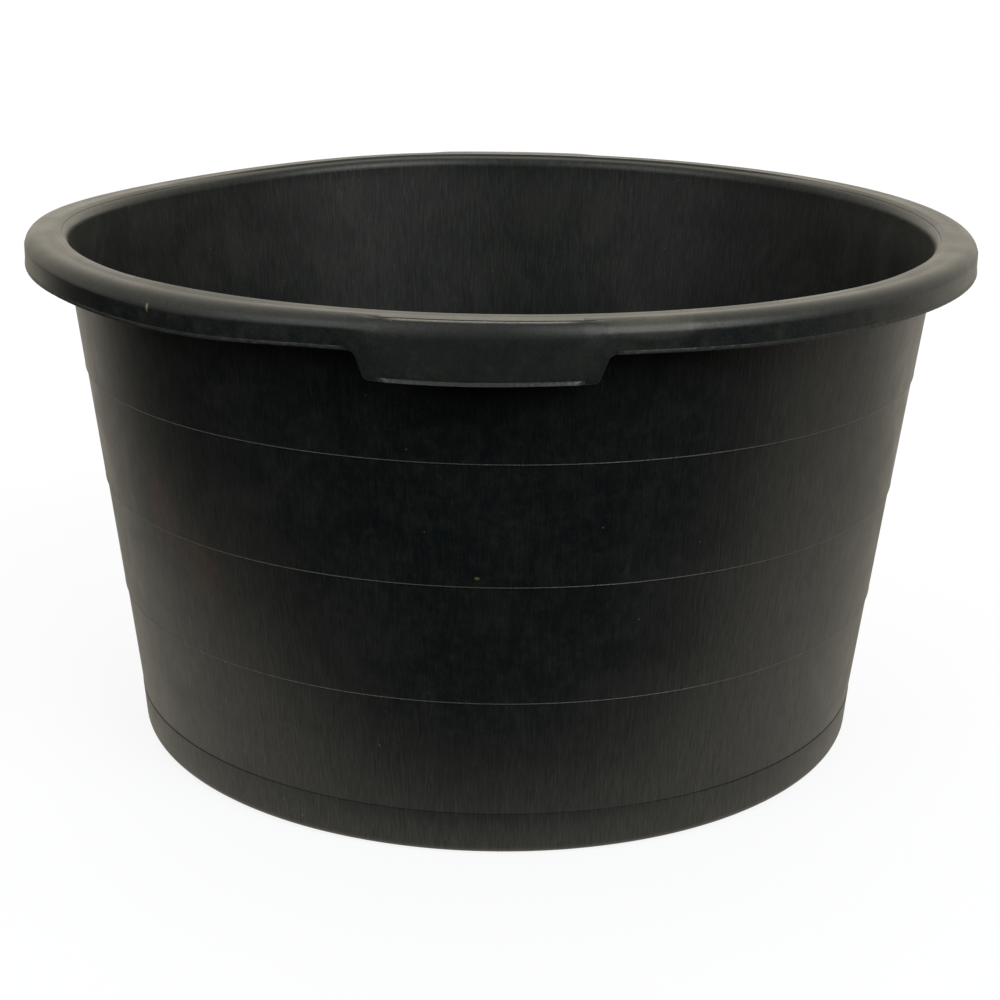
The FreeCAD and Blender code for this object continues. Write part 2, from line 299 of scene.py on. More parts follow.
def black_polyethylene(name, base, dusty, roughness, clouds, streaks, scuffs, streak_length,
                       streak_depth, marks=(), upright=True):
    """Semi-matt black polyethylene.

    base and dusty are its clean and cloudy colours. clouds, streaks and scuffs say how strongly
    each of them shows; streak_length and streak_depth are the size of the streaks. marks are its
    stains, each given as (centre, size, colour, strength). upright is False on the flat floor,
    where the streaks would otherwise all meet in the middle."""
    material = bpy.data.materials.new(name)
    material.use_nodes = True
    tree = material.node_tree
    tree.nodes.clear()
    place = add_node(tree, "ShaderNodeTexCoord").outputs["Object"]
    split = add_node(tree, "ShaderNodeSeparateXYZ", None, {0: place})
    flat = add_node(tree, "ShaderNodeCombineXYZ", None,
                    {"X": split.outputs["X"], "Y": split.outputs["Y"]})
    # direction round the tub times its mean radius, so that streaks run straight up the cone
    round_it = add_node(tree, "ShaderNodeVectorMath", {"operation": "NORMALIZE"},
                        {0: flat.outputs[0]})
    source, reach = (round_it.outputs[0], MEAN_RADIUS) if upright else (place, 1.0)
    spread = add_node(tree, "ShaderNodeVectorMath",
                      {"operation": "SCALE", "Scale": reach / STREAK_WIDTH}, {0: source})
    around = add_node(tree, "ShaderNodeSeparateXYZ", None, {0: spread.outputs[0]})
    outwards = add_node(tree, "ShaderNodeVectorMath", {"operation": "LENGTH"},
                        {0: flat.outputs[0]}).outputs["Value"]
    along = maths(tree, "SUBTRACT", split.outputs["Z"],
                  maths(tree, "MULTIPLY", outwards, OUTWARD_SHARE))
    climb = maths(tree, "MULTIPLY", along, 1 / streak_length)
    streak_place = add_node(tree, "ShaderNodeCombineXYZ", None,
                            {"X": around.outputs["X"], "Y": around.outputs["Y"], "Z": climb})
    streak = add_node(tree, "ShaderNodeTexNoise",
                      {"Scale": 1.0, "Detail": 4.0, "Roughness": 0.6, "Distortion": 0.9},
                      {"Vector": streak_place.outputs[0]}).outputs["Fac"]
    cloud = add_node(tree, "ShaderNodeTexNoise",
                     {"Scale": 1 / CLOUD_SIZE, "Detail": 8.0, "Roughness": 0.68, "Distortion": 0.8},
                     {"Vector": place}).outputs["Fac"]
    grain = add_node(tree, "ShaderNodeTexNoise", {"Scale": 1 / GRAIN_SIZE, "Detail": 3.0},
                     {"Vector": place}).outputs["Fac"]
    scuff = add_node(tree, "ShaderNodeTexNoise",
                     {"Scale": 1 / SCUFF_SIZE, "Detail": 8.0, "Roughness": 0.75},
                     {"Vector": place}).outputs["Fac"]
    speck = add_node(tree, "ShaderNodeTexVoronoi", {"Scale": 1 / SPECK_SPACING}, {"Vector": place})
    smeared = maths(tree, "ADD", maths(tree, "MULTIPLY", cloud, 0.75),
                    maths(tree, "MULTIPLY", streak, 0.25))
    cloud_mask = ramp(tree, smeared, 0.46, 0.64, 0.0, clouds)
    speck_mask = ramp(tree, speck.outputs["Distance"], SPECK_SIZE / SPECK_SPACING * 1.2,
                      SPECK_SIZE / SPECK_SPACING * 0.8, 0.0, 0.6)
    # pale edges: real wear and flash, and painted highlights along the grip's crest, the tops of
    # the beads, the skirt's roll and the wall's steps
    wear_and_highlight = add_node(tree, "ShaderNodeAttribute", {"attribute_name": "wear_and_highlight"}).outputs["Fac"]
    broken = ramp(tree, grain, 0.35, 0.65, 0.45, 1.0)
    wear_and_highlight_mask = maths(tree, "MULTIPLY", wear_and_highlight, broken)
    base_node = add_node(tree, "ShaderNodeRGB")
    base_node.outputs[0].default_value = linear(base)
    colour = mixed(tree, cloud_mask, base_node.outputs[0], dusty)
    colour = mixed(tree, ramp(tree, streak, 0.50, 0.72, 0.0, streaks), colour, STREAK_GREY)
    colour = mixed(tree, ramp(tree, scuff, 0.45, 0.75, 0.0, scuffs), colour, SCUFF_GREY)
    colour = mixed(tree, speck_mask, colour, SPECK_GREY)
    colour = mixed(tree, wear_and_highlight_mask, colour, WORN_AND_HIGHLIGHT_GREY)
    rough = maths(tree, "ADD", ramp(tree, cloud, 0.35, 0.7, roughness - 0.03, roughness + 0.07),
                  maths(tree, "MULTIPLY", wear_and_highlight_mask, 0.2))
    ragged = maths(tree, "MULTIPLY", maths(tree, "SUBTRACT", scuff, 0.5), 2.5)
    for centre, size, tint, strength in marks:
        mask = spot(tree, place, ragged, centre, size)
        colour = mixed(tree, maths(tree, "MULTIPLY", mask, strength), colour, tint)
    height = maths(tree, "ADD", streak, maths(tree, "MULTIPLY", grain, 0.6))
    relief = add_node(tree, "ShaderNodeBump", {"Strength": 1.0, "Distance": streak_depth},
                      {"Height": height})
    sheen = maths(tree, "ADD", ramp(tree, streak, 0.3, 0.7, 0.30, 0.62),
                  ramp(tree, scuff, 0.3, 0.7, 0.16, -0.10))
    shader = add_node(tree, "ShaderNodeBsdfPrincipled", {"IOR": PE_INDEX},
                      {"Base Color": colour, "Roughness": rough, "Specular IOR Level": sheen,
                       "Normal": relief.outputs[0]})
    add_node(tree, "ShaderNodeOutputMaterial", None, {"Surface": shader.outputs[0]})
    return material


# stains: a rusty bloom on the left of the wall and a chip of dried mortar, lighter clouds inside,
# and on the rim a haze at the left, a pale nick, a pale spot beside the grip that is rubbed plastic
# and a painted highlight, and a duller grip
WALL_MARKS = [((-0.216, -0.200, 0.212), (0.018, 0.016, 0.024), "4a2a2e", 0.34),
              ((-0.191, -0.221, 0.178), (0.024, 0.016, 0.022), "4c3022", 0.28),
              ((-0.003, -0.2948, 0.2024), (0.0018, 0.0022, 0.0012), "8c8560", 1.0)]
INSIDE_MARKS = [((-0.230, 0.200, 0.308), (0.010, 0.010, 0.034), "33352f", 0.5),
                ((0.024, 0.306, 0.330), (0.024, 0.010, 0.022), "2f312f", 0.5),
                ((0.077, 0.297, 0.327), (0.016, 0.012, 0.024), "2f312f", 0.5),
                ((-0.140, 0.275, 0.340), (0.010, 0.010, 0.020), "33352f", 0.4)]
RIM_MARKS = [((-0.300, -0.130, 0.3660), (0.030, 0.060, 0.0120), "3c3b36", 0.5),
             ((-0.2055, -0.2709, 0.3668), (0.0012, 0.0012, 0.0035), "a39d80", 0.9),
             # pale spot beside the front grip: rubbed plastic, and a painted highlight where the
             # rim catches the light
             ((0.098, -0.324, 0.3700), (0.030, 0.020, 0.0055), "77746b", 0.32),
             ((0.010, -0.340, 0.3550), (0.070, 0.010, 0.0180), "2e302f", 0.5)]

# outside: the blackest, with long streaks; inside: duller and cloudier; floor: like the inside,
# with short marks; rim: a little greyer and glossier, scuffed by hands
wall_plastic = black_polyethylene("polyethylene_outside", "12181a", "26292a", 0.36, 0.4, 0.18,
                                  0.16, 12 * MM, 0.11 * MM, WALL_MARKS)
inside_plastic = black_polyethylene("polyethylene_inside", "141919", "2b2d2c", 0.42, 0.6, 0.28,
                                    0.16, 12 * MM, 0.10 * MM, INSIDE_MARKS)
floor_plastic = black_polyethylene("polyethylene_floor", "141919", "2b2d2c", 0.42, 0.6, 0.20,
                                   0.25, 4 * MM, 0.05 * MM, upright=False)
rim_plastic = black_polyethylene("polyethylene_rim", "191f21", "313433", 0.34, 0.5, 0.10,
                                 0.35, 1.5 * MM, 0.035 * MM, RIM_MARKS)


# %% [markdown]
# ## Floor
# The floor is flat and hangs two millimetres clear of the ground inside the standing ring. The
# trimmed gate is a small button under its middle. All three are turned, and the lower edges of the
# gate and the ring are softened.

# %% Floor panel, gate and standing ring
EDGE_SOFT = 0.8 * MM
SOFT_STEPS = 3
GATE_STEPS = 64

floor_low, floor_high = span("floor_panel")
floor_edge = radii_at("floor_panel", floor_low)[1]
full_ring("floor_panel", [
    (0, floor_low), (floor_edge / 2, floor_low), (floor_edge, floor_low),
    (floor_edge, floor_high), (floor_edge / 2, floor_high), (0, floor_high)], [floor_plastic])

gate_low, gate_high = span("gate_stub")
gate_edge = radii_at("gate_stub", gate_low)[1]
full_ring("gate_stub", [
    (0, gate_low), (gate_edge, gate_low, EDGE_SOFT / 2, SOFT_STEPS),
    (gate_edge, gate_high), (0, gate_high)], [floor_plastic], steps=GATE_STEPS)

ring_inner, ring_outer = radii_at("standing_ring", 0.0)
ring_top = span("standing_ring")[1]
full_ring("standing_ring", [
    (ring_inner, 0, EDGE_SOFT, SOFT_STEPS), (ring_outer, 0),
    (ring_outer, ring_top), (ring_inner, ring_top)], [floor_plastic])

# %% [markdown]
# ## Wall
# Each band overhangs the one below by about a millimetre. On the real tub that step is a fine
# dark line, because the lower edge of the band is rounded and the band below starts behind it.
# From the second band up, that edge also carries a hair of pale flash, whose pale colour is also a
# painted highlight along the step.

# %% Foot band
CORNER_STEPS = 10
FOOT_FLAT = 2.8 * MM
FOOT_LEAN = 0.09
FOOT_ROUND_SHARE = 0.9
INNER_ROUND = 4 * MM
FOOT_LINE_SOFT = 0.15 * MM
# how far the inside and the outside of the wall lean outwards per metre of height
WALL_LEAN = 0.12415
BAND_LEAN = 0.109

foot_top = span("foot_band")[1]
foot_in, foot_out = radii_at("foot_band", foot_top)
foot_corner = foot_out - ring_outer - FOOT_FLAT
foot_ground = foot_out - FOOT_LEAN * foot_top
inner_corner = radii_at("wall_band_1", foot_top)[0] - WALL_LEAN * (foot_top - ring_top)
full_ring("foot_band", [
    (ring_outer, 0),
    (foot_ground, 0, foot_corner * FOOT_ROUND_SHARE, CORNER_STEPS),
    (foot_out, foot_top, FOOT_LINE_SOFT, SOFT_STEPS),
    (foot_in, foot_top),
    (inner_corner, ring_top, INNER_ROUND, CORNER_STEPS),
    (ring_outer, ring_top),
], [wall_plastic, inside_plastic])

# %% Wall bands
STEP_SOFT = 0.35 * MM
GROOVE = 0.5 * MM
FLASH = 0.16 * MM
FLASH_HEIGHT = 0.5 * MM
# how pale the flash is painted; it also paints the thin highlight along each step
FLASH_AND_HIGHLIGHT = 0.30


def wall_band(number):
    """One conical band with a fine line of flash on its lower edge, painted pale as flash and as a
    thin highlight.
    """
    name = "wall_band_%d" % number
    low, high = span(name)
    low_in, low_out = radii_at(name, low)
    high_in, high_out = radii_at(name, high)
    flash = FLASH if number > 1 else 0.0
    support = 3 * FLASH_HEIGHT
    corners = [
        (low_in, low),
        (low_out, low, STEP_SOFT if number > 1 else FOOT_LINE_SOFT, SOFT_STEPS),
        (low_out + flash, low + FLASH_HEIGHT * 0.5),
        (low_out + flash + BAND_LEAN * FLASH_HEIGHT, low + FLASH_HEIGHT),
        (low_out + BAND_LEAN * support * 0.5, low + support * 0.5),
        (low_out + BAND_LEAN * support, low + support),
        (high_out, high, GROOVE, 1),
        (high_in, high),
    ]

    def wear_and_highlight_at(co):
        edge = co.z < low + FLASH_HEIGHT * 1.2 and co.xy.length > low_out
        return FLASH_AND_HIGHLIGHT if number > 1 and edge else 0.0

    return full_ring(name, corners, [wall_plastic, inside_plastic], wear_and_highlight_at)


for number in (1, 2, 3, 4):
    wall_band(number)

# %% [markdown]
# ## Rim land
# The wall rolls outwards into a flat land. A shallow groove runs round the land and a small ledge
# round the mouth, where rings of the mould meet. They could be a bump texture, but their dark
# lines and the light edges beside them come from real shape, so they are points of the section.

# %% Rim land
def smooth(value):
    """Soft step from 0 to 1."""
    value = min(1.0, max(0.0, value))
    return value * value * (3 - 2 * value)


RIM_WALL = 3.2 * MM
MOUTH_STEPS = 16
LEDGE_TURN = math.radians(43)
LAND_GROOVE = 0.3 * MM
LAND_GROOVE_HALF = 2.2 * MM
LAND_FILLET = 3 * MM
# the ledge's corners, in millimetres in from the mouth edge and down from the top
LEDGE = [(2.0, 1.55), (1.1, 1.35), (0.4, 0.25), (0.0, 0.0)]
LEDGE_REACH = 0.6
LEDGE_ENDS = 0.45
LEDGE_FADE = 0.4
root_in, root_out = radii_at("rim_land", RIM_ROOT)
mouth_wall = root_in + (RIM_TOP - RIM_ROOT) * WALL_LEAN
MOUTH_ROLL = MOUTH_EDGE - mouth_wall + 1.2 * MM
land_under = RIM_TOP - RIM_WALL


def mouth_roll():
    """Rounded way from the inside wall up to the land, with a small stepped ledge near its top."""
    points = []
    for step in range(MOUTH_STEPS + 1):
        turn = math.pi / 2 - (math.pi / 2 - LEDGE_TURN) * step / MOUTH_STEPS
        points.append((MOUTH_EDGE - MOUTH_ROLL * math.sin(turn),
                       RIM_TOP - MOUTH_ROLL * (1 - math.cos(turn))))
    return points + [(MOUTH_EDGE - inwards * MM, RIM_TOP - down * MM) for inwards, down in LEDGE]


groove = (MOUTH_EDGE + LAND_EDGE) / 2 + 1.5 * MM
land_loop = section_loop([(root_in, RIM_ROOT)] + mouth_roll() + [
    (groove - LAND_GROOVE_HALF, RIM_TOP),
    (groove, RIM_TOP - LAND_GROOVE),
    (groove + LAND_GROOVE_HALF, RIM_TOP),
    (LAND_EDGE, RIM_TOP),
    (LAND_EDGE, land_under),
    (root_out + (land_under - RIM_ROOT) * BAND_LEAN, land_under, LAND_FILLET, 5),
    (root_out, RIM_ROOT),
])
land = turned(land_loop, 0, math.tau, RING_STEPS)
for vert in land.verts:
    # the ledge dies out towards both sides of the tub, where the mouth is a plain round
    inwards = MOUTH_EDGE - vert.co.xy.length
    if 0 < inwards < MOUTH_ROLL * LEDGE_REACH and vert.co.z > RIM_TOP - MOUTH_ROLL / 2:
        keep = smooth((abs(vert.co.y) / vert.co.xy.length - LEDGE_ENDS) / LEDGE_FADE)
        plain = RIM_TOP - MOUTH_ROLL + math.sqrt(MOUTH_ROLL ** 2 - inwards ** 2)
        vert.co.z = plain + (vert.co.z - plain) * keep
finish_piece(land, "rim_land", ["rim_land"], [rim_plastic, inside_plastic])

# %% [markdown]
# ## Skirt and grips
# The rim's outer edge is one profile that changes along its way: a quarter-round and a short
# skirt at the sides, and at each grip a creased shoulder above a deeper, prouder plate. Two
# separate lathe pieces would meet in a hard seam. So one profile with named stations is spun, and
# each column of it is then moved to its own blend of the two shapes.

# %% Profiles with the same stations
ROLL_RADIUS = 9.6 * MM
ROLL_STEPS = 14
FACE_STEPS = 8
EDGE_ROUND = 0.6 * MM
PARTING_RIDGE = 0.25 * MM
# the crest of the grip's shoulder is painted pale as a highlight, fading out towards the grip's
# ends
CREST = 8.2 * MM
CREST_HIGHLIGHT_FADE = math.radians(2.5)
# the grip's shoulder, in millimetres out from the land's edge and up from the top
SHOULDER = [(6.2, 0.0), (6.55, -0.25), (6.9, -0.75), (7.25, -0.45), (7.8, -0.25), (8.6, -0.55),
            (9.4, -1.25), (10.2, -2.2), (10.9, -3.25), (11.5, -4.4), (12.0, -5.6), (12.45, -7.0),
            (12.8, -8.5), (13.0, -10.2)]


def skirt_top():
    """Quarter-round from the land to the upright skirt, with the parting ridge at its foot."""
    start = RIM_RADIUS - ROLL_RADIUS
    points = []
    for step in range(ROLL_STEPS):
        turn = math.pi / 2 * (step + 0.5) / ROLL_STEPS
        ridge = PARTING_RIDGE if step == ROLL_STEPS - 2 else 0.0
        radius = start + (ROLL_RADIUS + ridge) * math.sin(turn)
        points.append((min(radius, RIM_RADIUS), RIM_TOP - ROLL_RADIUS * (1 - math.cos(turn))))
    return points


def grip_top():
    """Crease and sloping shoulder from the land to the upright grip plate."""
    return [(LAND_EDGE + out * MM, RIM_TOP + up * MM) for out, up in SHOULDER]


def profile(top, face_radius, bottom, wall):
    """Closed section: land, top stations, upright face, lower edge, inside face, underside."""
    face_top = top[-1][1]
    face = []
    for step in range(1, FACE_STEPS + 1):
        share = step / FACE_STEPS
        face.append((face_radius, face_top + (bottom + EDGE_ROUND - face_top) * share))
    back = face_radius - wall
    edge = [(face_radius - EDGE_ROUND * 0.3, bottom + EDGE_ROUND * 0.3),
            (face_radius - EDGE_ROUND, bottom),
            (back + EDGE_ROUND, bottom),
            (back + EDGE_ROUND * 0.3, bottom + EDGE_ROUND * 0.3)]
    under = RIM_TOP - RIM_WALL
    # up the inside of the skirt and round a fillet to the underside of the land
    hidden = [(back, bottom + EDGE_ROUND), (back, (bottom + face_top) / 2),
              (back, face_top - 2 * MM),
              (back - 0.8 * MM, face_top + 1 * MM), (back - 2.6 * MM, under - 1 * MM),
              (back - 4.8 * MM, under), (LAND_EDGE, under)]
    return [(LAND_EDGE, RIM_TOP)] + top + face + edge + hidden


skirt_profile = profile(skirt_top(), RIM_RADIUS, SKIRT_BOTTOM, RIM_WALL)
grip_profile = profile(grip_top(), GRIP_RADIUS, GRIP_BOTTOM, RIM_WALL)
print("stations on a profile:", len(skirt_profile), len(grip_profile))

# %% Skirts
SKIRT_STEPS = 460
# the upper roll of the skirt is a little paler: rubbed plastic and a faint painted highlight
ROLL_RUB_AND_HIGHLIGHT = 0.05


def rim_skirt(name, start):
    """Rolled edge and skirt between the two grips on one side."""
    loop = [Vector((r, 0, z)) for r, z in skirt_profile]
    made = turned(loop, start + GRIP_END, math.pi - 2 * GRIP_END, SKIRT_STEPS)

    def wear_and_highlight_at(co):
        upper = RIM_TOP - co.z < 0.7 * ROLL_RADIUS and co.xy.length > LAND_EDGE
        return ROLL_RUB_AND_HIGHLIGHT if upper else 0.0

    return finish_piece(made, name, [name], [rim_plastic], wear_and_highlight_at)


rim_skirt("rim_skirt_right", -math.pi / 2)
rim_skirt("rim_skirt_left", math.pi / 2)

# %% Outline of a grip seen from the front
GRIP_STEPS = 320
SIDE_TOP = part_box("front_grip")[1].x - 5 * MM
SIDE_LOW = SIDE_TOP - 5.5 * MM
TOP_ROUND = 4.5 * MM
LOW_ROUND = 3.0 * MM
CORNER_SHARE = 0.12
# how early the plate and its shoulder reach their full shape, as factors on the way in
PLATE_EASE = 1.05
SHOULDER_EASE = 0.9
GRIP_EDGE_WEAR = 0.25


def lower_edge(across):
    """Height of the lower edge at a distance from the middle of the grip."""
    across = abs(across)
    drop = SKIRT_BOTTOM - GRIP_BOTTOM
    share = (SIDE_TOP - across) / (SIDE_TOP - SIDE_LOW)
    straight = min(max(share, 0.0), 1.0)
    top_soft = max(0.0, 1 - abs(across - SIDE_TOP) / TOP_ROUND) ** 2 * CORNER_SHARE
    low_soft = max(0.0, 1 - abs(across - SIDE_LOW) / LOW_ROUND) ** 2 * CORNER_SHARE
    return SKIRT_BOTTOM - drop * min(1.0, max(0.0, straight + top_soft - low_soft))


def grip(name, middle):
    """Spins the grip profile, then moves each column to its own blend with the skirt."""
    loop = [Vector((r, 0, z)) for r, z in grip_profile]
    made = turned(loop, middle - GRIP_END, 2 * GRIP_END, GRIP_STEPS)
    station = {}
    for index, (radius, height) in enumerate(grip_profile):
        station[(round(radius, 6), round(height, 6))] = index
    for vert in made.verts:
        azimuth = math.atan2(vert.co.y, vert.co.x)
        offset = (azimuth - middle + math.pi) % math.tau - math.pi
        key = (round(vert.co.xy.length, 6), round(vert.co.z, 6))
        index = station.get(key)
        if index is None:
            near = min(station, key=lambda k: (k[0] - key[0]) ** 2 + (k[1] - key[1]) ** 2)
            index = station[near]
        way_in = (GRIP_END - abs(offset)) / (GRIP_END - GRIP_FACE_END)
        proud = smooth(way_in * PLATE_EASE)
        across = RIM_RADIUS * math.sin(offset)
        bottom = lower_edge(across)
        top_mix = smooth(way_in * SHOULDER_EASE)
        tops = [(s[0] + (g[0] - s[0]) * top_mix, s[1] + (g[1] - s[1]) * top_mix)
                for s, g in zip(skirt_top(), grip_top())]
        face_radius = RIM_RADIUS + (GRIP_RADIUS - RIM_RADIUS) * proud
        radius, height = profile(tops, face_radius, bottom, RIM_WALL)[index]
        vert.co.x = radius * math.cos(azimuth)
        vert.co.y = radius * math.sin(azimuth)
        vert.co.z = height

    def wear_and_highlight_at(co):
        offset = abs((math.atan2(co.y, co.x) - middle + math.pi) % math.tau - math.pi)
        crest = abs(co.xy.length - LAND_EDGE - CREST) < 0.8 * MM and offset < GRIP_FACE_END
        low = co.z < lower_edge(RIM_RADIUS * math.sin(offset)) + EDGE_ROUND * 0.4
        # the crest gets the full pale colour: a painted highlight along the sharp edge
        if crest and RIM_TOP - co.z < MM:
            return smooth((GRIP_FACE_END - offset) / CREST_HIGHLIGHT_FADE)
        return GRIP_EDGE_WEAR if low else 0.0

    return finish_piece(made, name, [name], [rim_plastic], wear_and_highlight_at)


grip("front_grip", -math.pi / 2)
grip("rear_grip", math.pi / 2)

# %% [markdown]
# ## Beads
# A bead runs along the lower edge of the skirt and under each grip. Moulding flash makes it
# slightly ragged, and it fades out at its ends. Its lower edge is painted pale as flash, and its
# top edge pale as a painted highlight.

# %% Beads of the skirt and the grips
LIP_HEIGHT = 2.4 * MM
BEAD_RAGGED = 0.3 * MM
# noise steps per radian and per metre of height, and a fixed third coordinate
BEAD_NOISE = (150, 400, 1.7)
# out as a share of the reach, or in millimetres where it is inside the skirt; up as a share
BEAD_SECTION = [(-0.4, 0.0), (0.7, 0.0), (1.0, 0.12), (0.9, 0.3), (0.7, 0.7), (0.25, 0.97),
                (-0.4, 1.0)]


def bead(name, radius, low, reach, start, sweep, steps, fade, wear_and_highlight):
    """Small bead with a sharp, ragged lower edge, tapering to nothing over its last stretch."""
    loop = [Vector((radius + (out * reach if out > 0 else out * MM), 0,
                    low + max(0.0, up) * LIP_HEIGHT)) for out, up in BEAD_SECTION]
    made = turned(loop, start, sweep, steps)
    for vert in made.verts:
        azimuth = math.atan2(vert.co.y, vert.co.x)
        along = (azimuth - start) % math.tau
        keep = smooth(min(along, sweep - along) / fade)
        ragged = noise.noise(Vector((azimuth * BEAD_NOISE[0], vert.co.z * BEAD_NOISE[1],
                                     BEAD_NOISE[2]))) * BEAD_RAGGED
        length = vert.co.xy.length
        stand = length - radius
        wanted = radius + (stand + min(0.0, ragged)) * keep if stand > 0 else length
        vert.co.x *= wanted / length
        vert.co.y *= wanted / length
        vert.co.z += max(0.0, ragged) * keep * 0.6

    def wear_and_highlight_at(co):
        # bottom edge paler as flash, top edge paler as a painted highlight, the rest faintly tinted
        edge = co.z < low + 0.35 * LIP_HEIGHT or co.z > low + 0.85 * LIP_HEIGHT
        return wear_and_highlight if edge else wear_and_highlight * 0.3

    return finish_piece(made, name, [name], [rim_plastic], wear_and_highlight_at)


SKIRT_SWEEP = math.pi - 2 * GRIP_END
for side, start in (("right", -math.pi / 2), ("left", math.pi / 2)):
    bead("rim_lip_" + side, RIM_RADIUS, SKIRT_BOTTOM, 0.4 * MM, start + GRIP_END, SKIRT_SWEEP,
         SKIRT_STEPS * 2, math.radians(0.8), 0.05)
for side, middle in (("front", -math.pi / 2), ("rear", math.pi / 2)):
    bead(side + "_grip_lip", GRIP_RADIUS, GRIP_BOTTOM, 1.5 * MM, middle - GRIP_FACE_END,
         2 * GRIP_FACE_END, 200, math.radians(1.2), 0.12)

# %% [markdown]
# ## Hidden ribs
# Webs close the ends of each finger pocket, and small gussets hold the skirt to the wall. Each is
# a plate in a radial plane: its outline is filled, with fillets where it meets the rim, extruded
# to its thickness and turned to its place, so that it can settle together with the rim above it.

# %% Webs and gussets
GUSSET_THICKNESS = 2.5 * MM
WEB_THICKNESS = 3 * MM
WEB_TOP_STEP = 5.7 * MM
CHANNEL_FILLET = 3 * MM
SKIRT_FILLET = 6.6 * MM


def rib_plate(made, outline, thickness, azimuth):
    """Adds one radial plate to a bmesh."""
    loop = section_loop(outline)
    plate = bmesh.new()
    face = plate.faces.new([plate.verts.new(point) for point in loop])
    grown = bmesh.ops.extrude_face_region(plate, geom=[face])
    moved = [item for item in grown["geom"] if isinstance(item, bmesh.types.BMVert)]
    bmesh.ops.translate(plate, verts=moved, vec=(0, thickness, 0))
    bmesh.ops.translate(plate, verts=plate.verts[:], vec=(0, -thickness / 2, 0))
    bmesh.ops.rotate(plate, verts=plate.verts[:], cent=(0, 0, 0),
                     matrix=Matrix.Rotation(azimuth, 3, "Z"))
    bmesh.ops.recalc_face_normals(plate, faces=plate.faces[:])
    scratch = bpy.data.meshes.new("rib_scratch")
    plate.to_mesh(scratch)
    plate.free()
    made.from_mesh(scratch)
    bpy.data.meshes.remove(scratch)


def wall_side(node):
    """Corners of a rib along the wall, from its top down."""
    low, high = span(node)
    at_low = radii_at(node, low)[0]
    return [(at_low + (high - low) * BAND_LEAN, high, CHANNEL_FILLET, 5), (at_low, low)]


gussets = bmesh.new()
gusset_low, gusset_high = span("rim_gussets")
gusset_out = radii_at("rim_gussets", gusset_low)[1]
for side in (0, 180):
    for away in (-60, -30, 0, 30, 60):
        rib_plate(gussets, wall_side("rim_gussets") + [
            (gusset_out, gusset_low), (gusset_out, gusset_high, SKIRT_FILLET, 6)],
            GUSSET_THICKNESS, math.radians(side + away))
finish_piece(gussets, "rim_gussets", ["rim_gussets"], [wall_plastic])

for end in ("front", "rear"):
    for side in ("left", "right"):
        name = end + "_grip_web_" + side
        low, high = span(name)
        pocket_out = radii_at(name, low)[1]
        middle = sum((v.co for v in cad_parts[name].data.vertices), Vector())
        web = bmesh.new()
        rib_plate(web, wall_side(name) + [
            (pocket_out, low), (pocket_out, high - WEB_TOP_STEP),
            (gusset_out, high - WEB_TOP_STEP), (gusset_out, high)],
            WEB_THICKNESS, math.atan2(middle.y, middle.x))
        finish_piece(web, name, [name], [wall_plastic])

# %% [markdown]
# ## Studio
# A black, half-glossy tub is only seen by what it reflects. It stands near the front edge of a lit
# table before a bright back wall, with two soft boxes high in front and a dark room between them.
# The floor that is looked at is plain and pale. In reflections the floor glows by itself: the
# table's light, its fading and its edge are painted into an emission, and the reflection ends at
# the table's edge.

# %% Floor
FLOOR_HALF = 20.0
# tints of light, linear, so a channel may pass 1
WARM = (1.08, 1.0, 0.85, 1.0)
COOL = (0.99, 1.0, 0.955, 1.0)
# the floor that is looked at: a little shadow on its own pale light
SHADOW_GREY = (0.195, 0.205, 0.225, 1.0)
FLOOR_GLOW = 0.86
# where the lit table ends in front and at the left, and how its light fades with distance
FRONT_EDGE = (-0.41, -0.26)
LEFT_EDGE = (-0.95, -0.57)
LEFT_SLANT = 1.1
FADE_FROM, FADE_TO = (0.45, 0.60), (1.5, 0.20)
BEHIND_EDGE = (0.2, 0.8)
BEHIND_LIGHT = 0.5


